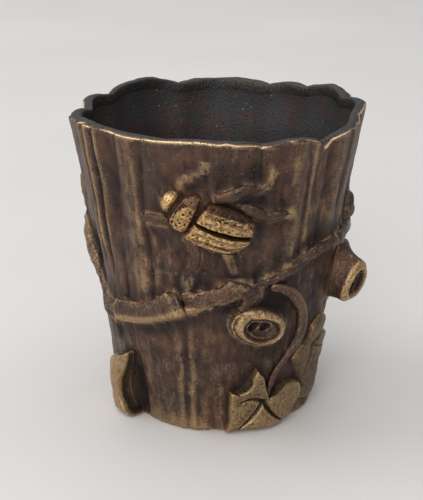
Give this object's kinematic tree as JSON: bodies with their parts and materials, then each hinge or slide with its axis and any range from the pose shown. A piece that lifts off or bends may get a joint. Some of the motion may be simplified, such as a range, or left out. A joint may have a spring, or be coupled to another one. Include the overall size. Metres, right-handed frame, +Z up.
{
  "type": "pen holder cup",
  "caption": "Open-topped tapered cup in the form of a tree stump, with a scalloped rim and relief beetle, vine, knots and leaves, that stands on a desk and holds pens.",
  "frame": {"origin": "centre of the flat underside of the disc in the foot, on the plane that the cup stands on", "axes": "+Z up along the axis of the stump, -Y to the front, where the beetle is, +X to the right seen from the front"},
  "size_m": [0.1028, 0.1027, 0.1082],
  "materials": {
    "bark": "dark brown patina on cast bronze, satin, rubbed golden along the ridges of the bark and the rim",
    "ornament": "brown patina worn through to golden bronze on the high points, dark in the hollows",
    "rubbed": "golden bronze rubbed bright by handling, dark brown patina in the grooves",
    "dark_cast": "near-black as-cast skin, matt"
  },
  "bodies": {
    "root": {"base_plate": "dark_cast", "beetle_head": "rubbed", "beetle_leg_front_left": "ornament", "beetle_leg_front_right": "ornament", "beetle_leg_hind_left": "ornament", "beetle_leg_hind_right": "ornament", "beetle_leg_middle_left": "ornament", "beetle_leg_middle_right": "ornament", "beetle_thorax": "rubbed", "beetle_wing_case_left": "rubbed", "beetle_wing_case_right": "rubbed", "bud_lower": "ornament", "bud_upper": "ornament", "knot_back": "ornament", "knot_front": "ornament", "knot_right": "ornament", "leaf_back": "ornament", "leaf_folded": "ornament", "leaf_front": "ornament", "leaf_left": "ornament", "leaf_right": "ornament", "tendril_front": "ornament", "trunk_wall": "bark", "vine_back": "ornament", "vine_back_left": "ornament", "vine_front": "ornament", "vine_front_left": "ornament", "vine_front_right": "ornament", "vine_left": "ornament", "vine_right": "ornament"}
  },
  "joints": []
}
